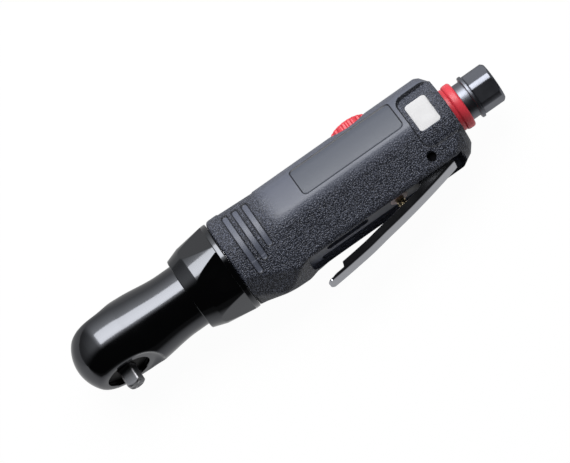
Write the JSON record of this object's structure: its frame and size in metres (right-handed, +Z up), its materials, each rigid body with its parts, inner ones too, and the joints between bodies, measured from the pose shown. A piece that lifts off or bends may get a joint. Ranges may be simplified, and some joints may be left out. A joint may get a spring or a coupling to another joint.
{
  "type": "air ratchet",
  "caption": "Slim air ratchet with a quarter-inch square drive, a tapered clamp nut, a grained grey grip with a throttle lever, and a red power regulator dial",
  "frame": {"origin": "where the square drive's axis crosses the barrel's axis", "axes": "+X along the barrel from the head to the air inlet, -Y the way the square drive and the lever face, +Z up with the tool lying on its side"},
  "size_m": [0.2102, 0.0536, 0.0416],
  "materials": {
    "gloss_black_metal": "smooth gloss black",
    "black_oxide_steel": "satin black oxide",
    "bright_steel": "ground steel",
    "grey_composite": "dark grey moulded grain",
    "red_plastic": "smooth moulded red",
    "brass": "turned brass",
    "pale_plastic": "pale moulded plastic",
    "vane_plastic": "brown laminate",
    "black_rubber": "soft black rubber",
    "black_anodised": "satin black anodised"
  },
  "bodies": {
    "tool_body": {"ratchet_head": "gloss_black_metal", "thrust_washer": "brass", "head_cover": "black_oxide_steel", "head_snap_ring": "black_oxide_steel", "crank_bearing": "bright_steel", "ring_gear": "bright_steel", "clamp_nut": "gloss_black_metal", "motor_front_plate": "bright_steel", "motor_front_bearing": "bright_steel", "motor_cylinder": "bright_steel", "motor_rear_plate": "bright_steel", "motor_rear_bearing": "bright_steel", "grip_housing": "grey_composite", "lever_pin": "black_oxide_steel", "valve_bush": "pale_plastic", "valve_spring": "bright_steel", "stem_o_ring": "black_rubber", "regulator_o_ring": "black_rubber", "inlet_bushing": "black_anodised", "inlet_o_ring": "black_rubber", "inlet_screen": "bright_steel", "exhaust_ring": "red_plastic"},
    "spindle": {"drive_spindle": "bright_steel", "pawl_pin": "bright_steel"},
    "detent": {"socket_ball": "bright_steel"},
    "yoke": {"ratchet_yoke": "bright_steel"},
    "pawl": {"ratchet_pawl": "bright_steel"},
    "selector": {"reverse_dial": "black_oxide_steel"},
    "crank": {"crank_shaft": "bright_steel", "planet_pins": "bright_steel"},
    "bush": {"yoke_bush": "bright_steel"},
    "planet_1": {"planet_gear_1": "bright_steel"},
    "planet_2": {"planet_gear_2": "bright_steel"},
    "planet_3": {"planet_gear_3": "bright_steel"},
    "rotor": {"motor_rotor": "bright_steel", "motor_vanes": "vane_plastic"},
    "lever": {"throttle_lever": "gloss_black_metal"},
    "valve": {"valve_stem": "brass"},
    "regulator": {"regulator_dial": "red_plastic"}
  },
  "joints": [
    {"name": "spindle_turn", "type": "hinge", "parent": "tool_body", "child": "spindle", "pos_m": [0, 0, 0], "axis": [0, -1, 0], "continuous": true},
    {"name": "ball_press", "type": "slide", "parent": "spindle", "child": "detent", "axis": [-0.2588, 0, 0.9659], "range_m": [0, 0.0006], "stiffness_N_per_m": 900, "springref_m": -0.001},
    {"name": "selector_turn", "type": "hinge", "parent": "spindle", "child": "selector", "pos_m": [0, 0.009, 0], "axis": [0, 1, 0], "range_deg": [-35, 35]},
    {"name": "pawl_rock", "type": "hinge", "parent": "spindle", "child": "pawl", "pos_m": [0, 0, 0.0056], "axis": [0, 1, 0], "range_deg": [-14, 14]},
    {"name": "yoke_swing", "type": "hinge", "parent": "tool_body", "child": "yoke", "pos_m": [0, 0, 0], "axis": [0, -1, 0], "range_deg": [-3, 3]},
    {"name": "rotor_spin", "type": "hinge", "parent": "tool_body", "child": "rotor", "pos_m": [0.0785, 0, 0], "axis": [1, 0, 0], "continuous": true},
    {"name": "crank_spin", "type": "hinge", "parent": "tool_body", "child": "crank", "pos_m": [0.031, 0, 0], "axis": [1, 0, 0], "continuous": true},
    {"name": "bush_spin", "type": "hinge", "parent": "crank", "child": "bush", "pos_m": [0.017, 0.001, 0], "axis": [1, 0, 0], "continuous": true},
    {"name": "planet_1_spin", "type": "hinge", "parent": "crank", "child": "planet_1", "pos_m": [0.0469, 0.0072, 0], "axis": [1, 0, 0], "continuous": true},
    {"name": "planet_2_spin", "type": "hinge", "parent": "crank", "child": "planet_2", "pos_m": [0.0469, -0.0036, 0.00624], "axis": [1, 0, 0], "continuous": true},
    {"name": "planet_3_spin", "type": "hinge", "parent": "crank", "child": "planet_3", "pos_m": [0.0469, -0.0036, -0.00624], "axis": [1, 0, 0], "continuous": true},
    {"name": "lever_press", "type": "hinge", "parent": "tool_body", "child": "lever", "pos_m": [0.1525, -0.0159, 0], "axis": [0, 0, -1], "range_deg": [0, 8.5], "stiffness_Nm_per_rad": 1.2, "springref_deg": -11.46},
    {"name": "valve_slide", "type": "slide", "parent": "tool_body", "child": "valve", "axis": [0, 1, 0], "range_m": [0, 0.003]},
    {"name": "regulator_turn", "type": "hinge", "parent": "tool_body", "child": "regulator", "pos_m": [0.1322, 0.0155, 0], "axis": [0, 1, 0], "range_deg": [-90, 90]}
  ],
  "couplings": [
    {"joint": "pawl_rock", "follows": "selector_turn", "ratio": -0.17},
    {"joint": "crank_spin", "follows": "rotor_spin", "ratio": 0.25},
    {"joint": "planet_1_spin", "follows": "rotor_spin", "ratio": -0.75},
    {"joint": "planet_2_spin", "follows": "rotor_spin", "ratio": -0.75},
    {"joint": "planet_3_spin", "follows": "rotor_spin", "ratio": -0.75},
    {"joint": "valve_slide", "follows": "lever_press", "m_per_rad": 0.0195}
  ]
}
